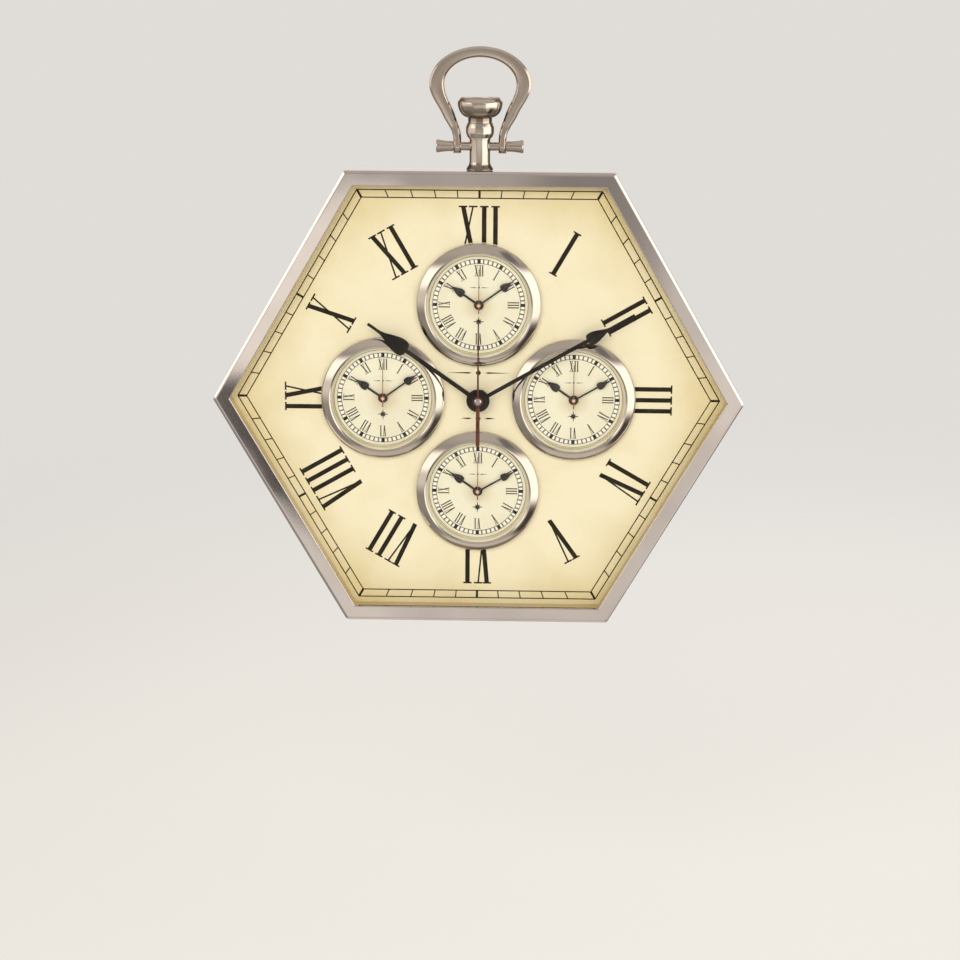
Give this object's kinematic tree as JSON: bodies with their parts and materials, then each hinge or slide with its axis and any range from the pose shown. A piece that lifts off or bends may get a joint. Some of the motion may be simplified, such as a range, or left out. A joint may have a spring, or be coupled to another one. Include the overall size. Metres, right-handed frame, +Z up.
{
  "type": "world time wall clock",
  "caption": "Hexagonal wall clock styled as a pocket watch: metal rim with stem, crown and swinging bail, large Roman dial with hands, and round insert clocks for other time zones",
  "frame": {"origin": "centre of the hook hole in the hanger strap, on the strap's back face; the dial's centre is 25 mm in front of it and 97 mm below it", "axes": "+X to the viewer's right, +Y from the dial to the wall, +Z up"},
  "size_m": [0.3052, 0.0381, 0.3342],
  "materials": {
    "rim_nickel": "soft brushed warm nickel",
    "pendant_nickel": "polished nickel",
    "bezel_chrome": "polished nickel",
    "dial_paper": "matte cream printed card, darker towards the edges",
    "insert_paper": "matte cream printed card",
    "dial_board": "plain hardboard",
    "ink": "flat olive black print",
    "hand_black": "satin black",
    "second_red": "satin red-brown",
    "second_copper": "satin red-brown",
    "cap_silver": "polished",
    "cover_paint": "fine textured dark grey",
    "zinc": "zinc plated",
    "black_rubber": "matte",
    "spacer_foam": "matte",
    "black_plastic": "moulded",
    "knob_plastic": "moulded",
    "white_plastic": "moulded",
    "brass": "turned",
    "magnet": "sintered",
    "stator_steel": "stamped",
    "coil_copper": "wound enamelled copper",
    "board_green": "solder mask",
    "battery_wrap": "plain printed sleeve",
    "lens_glass": "clear"
  },
  "bodies": {
    "case": {"case_frame": "rim_nickel", "pendant_stem": "pendant_nickel", "crown": "pendant_nickel", "bail_pin": "pendant_nickel", "insert_bezels": "bezel_chrome", "dial_sheet": "dial_paper", "insert_dials": "insert_paper", "dial_plate": "dial_board", "dial_print": "ink", "insert_prints": "ink", "rear_cover": "cover_paint", "hanger_plate": "zinc", "cover_screws": "zinc", "battery_contacts": "zinc", "insert_cells": "zinc", "wall_bumpers": "black_rubber", "insert_retainers": "black_rubber", "movement_gasket": "black_rubber", "dial_spacer": "spacer_foam", "front_housing": "black_plastic", "rear_housing": "black_plastic", "insert_cups": "black_plastic", "insert_lids": "black_plastic", "insert_modules": "white_plastic", "centre_bush": "brass", "bush_nut": "brass", "stator_plate": "stator_steel", "coil": "coil_copper", "circuit_board": "board_green", "battery": "battery_wrap", "insert_lenses": "lens_glass"},
    "minute": {"minute_hand": "hand_black", "centre_wheel": "brass"},
    "hour": {"hour_hand": "hand_black", "hour_wheel": "white_plastic"},
    "second": {"second_hand": "second_red", "second_hand_cap": "cap_silver", "seconds_wheel": "brass"},
    "third": {"third_wheel": "white_plastic"},
    "motion": {"motion_wheel": "white_plastic"},
    "intermediate": {"intermediate_wheel": "white_plastic"},
    "rotor": {"rotor": "magnet"},
    "setting": {"set_knob": "knob_plastic"},
    "bail": {"bail": "pendant_nickel"},
    "top_minute": {"top_minute_hand": "hand_black"},
    "top_hour": {"top_hour_hand": "hand_black"},
    "top_second": {"top_second_hand": "second_copper"},
    "top_setting": {"top_set_knob": "knob_plastic"},
    "right_minute": {"right_minute_hand": "hand_black"},
    "right_hour": {"right_hour_hand": "hand_black"},
    "right_second": {"right_second_hand": "second_copper"},
    "right_setting": {"right_set_knob": "knob_plastic"},
    "bottom_minute": {"bottom_minute_hand": "hand_black"},
    "bottom_hour": {"bottom_hour_hand": "hand_black"},
    "bottom_second": {"bottom_second_hand": "second_copper"},
    "bottom_setting": {"bottom_set_knob": "knob_plastic"},
    "left_minute": {"left_minute_hand": "hand_black"},
    "left_hour": {"left_hour_hand": "hand_black"},
    "left_second": {"left_second_hand": "second_copper"},
    "left_setting": {"left_set_knob": "knob_plastic"}
  },
  "joints": [
    {"name": "minute_turn", "type": "hinge", "parent": "case", "child": "minute", "pos_m": [0, -0.025, -0.097], "axis": [0, 1, 0], "continuous": true},
    {"name": "hour_turn", "type": "hinge", "parent": "case", "child": "hour", "pos_m": [0, -0.025, -0.097], "axis": [0, 1, 0], "continuous": true},
    {"name": "second_turn", "type": "hinge", "parent": "case", "child": "second", "pos_m": [0, -0.025, -0.097], "axis": [0, 1, 0], "continuous": true},
    {"name": "third_turn", "type": "hinge", "parent": "case", "child": "third", "pos_m": [-0.00935, -0.025, -0.0916], "axis": [0, 1, 0], "continuous": true},
    {"name": "intermediate_turn", "type": "hinge", "parent": "case", "child": "intermediate", "pos_m": [0.0108, -0.025, -0.097], "axis": [0, 1, 0], "continuous": true},
    {"name": "rotor_turn", "type": "hinge", "parent": "case", "child": "rotor", "pos_m": [0.01808, -0.025, -0.0928], "axis": [0, 1, 0], "continuous": true},
    {"name": "motion_turn", "type": "hinge", "parent": "case", "child": "motion", "pos_m": [0, -0.025, -0.088], "axis": [0, 1, 0], "continuous": true},
    {"name": "setting_turn", "type": "hinge", "parent": "case", "child": "setting", "pos_m": [0.0045, -0.025, -0.08021], "axis": [0, 1, 0], "continuous": true},
    {"name": "top_minute_turn", "type": "hinge", "parent": "case", "child": "top_minute", "pos_m": [0, -0.025, -0.0419], "axis": [0, 1, 0], "continuous": true},
    {"name": "top_hour_turn", "type": "hinge", "parent": "case", "child": "top_hour", "pos_m": [0, -0.025, -0.0419], "axis": [0, 1, 0], "continuous": true},
    {"name": "top_second_turn", "type": "hinge", "parent": "case", "child": "top_second", "pos_m": [0, -0.025, -0.0419], "axis": [0, 1, 0], "continuous": true},
    {"name": "top_setting_turn", "type": "hinge", "parent": "case", "child": "top_setting", "pos_m": [0, -0.025, -0.0419], "axis": [0, 1, 0], "continuous": true},
    {"name": "right_minute_turn", "type": "hinge", "parent": "case", "child": "right_minute", "pos_m": [0.0551, -0.025, -0.097], "axis": [0, 1, 0], "continuous": true},
    {"name": "right_hour_turn", "type": "hinge", "parent": "case", "child": "right_hour", "pos_m": [0.0551, -0.025, -0.097], "axis": [0, 1, 0], "continuous": true},
    {"name": "right_second_turn", "type": "hinge", "parent": "case", "child": "right_second", "pos_m": [0.0551, -0.025, -0.097], "axis": [0, 1, 0], "continuous": true},
    {"name": "right_setting_turn", "type": "hinge", "parent": "case", "child": "right_setting", "pos_m": [0.0551, -0.025, -0.097], "axis": [0, 1, 0], "continuous": true},
    {"name": "bottom_minute_turn", "type": "hinge", "parent": "case", "child": "bottom_minute", "pos_m": [0, -0.025, -0.1521], "axis": [0, 1, 0], "continuous": true},
    {"name": "bottom_hour_turn", "type": "hinge", "parent": "case", "child": "bottom_hour", "pos_m": [0, -0.025, -0.1521], "axis": [0, 1, 0], "continuous": true},
    {"name": "bottom_second_turn", "type": "hinge", "parent": "case", "child": "bottom_second", "pos_m": [0, -0.025, -0.1521], "axis": [0, 1, 0], "continuous": true},
    {"name": "bottom_setting_turn", "type": "hinge", "parent": "case", "child": "bottom_setting", "pos_m": [0, -0.025, -0.1521], "axis": [0, 1, 0], "continuous": true},
    {"name": "left_minute_turn", "type": "hinge", "parent": "case", "child": "left_minute", "pos_m": [-0.0551, -0.025, -0.097], "axis": [0, 1, 0], "continuous": true},
    {"name": "left_hour_turn", "type": "hinge", "parent": "case", "child": "left_hour", "pos_m": [-0.0551, -0.025, -0.097], "axis": [0, 1, 0], "continuous": true},
    {"name": "left_second_turn", "type": "hinge", "parent": "case", "child": "left_second", "pos_m": [-0.0551, -0.025, -0.097], "axis": [0, 1, 0], "continuous": true},
    {"name": "left_setting_turn", "type": "hinge", "parent": "case", "child": "left_setting", "pos_m": [-0.0551, -0.025, -0.097], "axis": [0, 1, 0], "continuous": true},
    {"name": "bail_swing", "type": "hinge", "parent": "case", "child": "bail", "pos_m": [0, -0.0245, 0.0487], "axis": [1, 0, 0], "range_deg": [-120, 120]}
  ],
  "couplings": [
    {"joint": "hour_turn", "follows": "minute_turn", "ratio": 0.083333},
    {"joint": "second_turn", "follows": "minute_turn", "ratio": 60},
    {"joint": "third_turn", "follows": "minute_turn", "ratio": -7.5},
    {"joint": "intermediate_turn", "follows": "minute_turn", "ratio": -300},
    {"joint": "rotor_turn", "follows": "minute_turn", "ratio": 1800},
    {"joint": "motion_turn", "follows": "minute_turn", "ratio": -0.33333},
    {"joint": "setting_turn", "follows": "minute_turn", "ratio": 1},
    {"joint": "top_hour_turn", "follows": "top_minute_turn", "ratio": 0.083333},
    {"joint": "top_second_turn", "follows": "top_minute_turn", "ratio": 60},
    {"joint": "top_setting_turn", "follows": "top_minute_turn", "ratio": 1},
    {"joint": "right_hour_turn", "follows": "right_minute_turn", "ratio": 0.083333},
    {"joint": "right_second_turn", "follows": "right_minute_turn", "ratio": 60},
    {"joint": "right_setting_turn", "follows": "right_minute_turn", "ratio": 1},
    {"joint": "bottom_hour_turn", "follows": "bottom_minute_turn", "ratio": 0.083333},
    {"joint": "bottom_second_turn", "follows": "bottom_minute_turn", "ratio": 60},
    {"joint": "bottom_setting_turn", "follows": "bottom_minute_turn", "ratio": 1},
    {"joint": "left_hour_turn", "follows": "left_minute_turn", "ratio": 0.083333},
    {"joint": "left_second_turn", "follows": "left_minute_turn", "ratio": 60},
    {"joint": "left_setting_turn", "follows": "left_minute_turn", "ratio": 1}
  ]
}
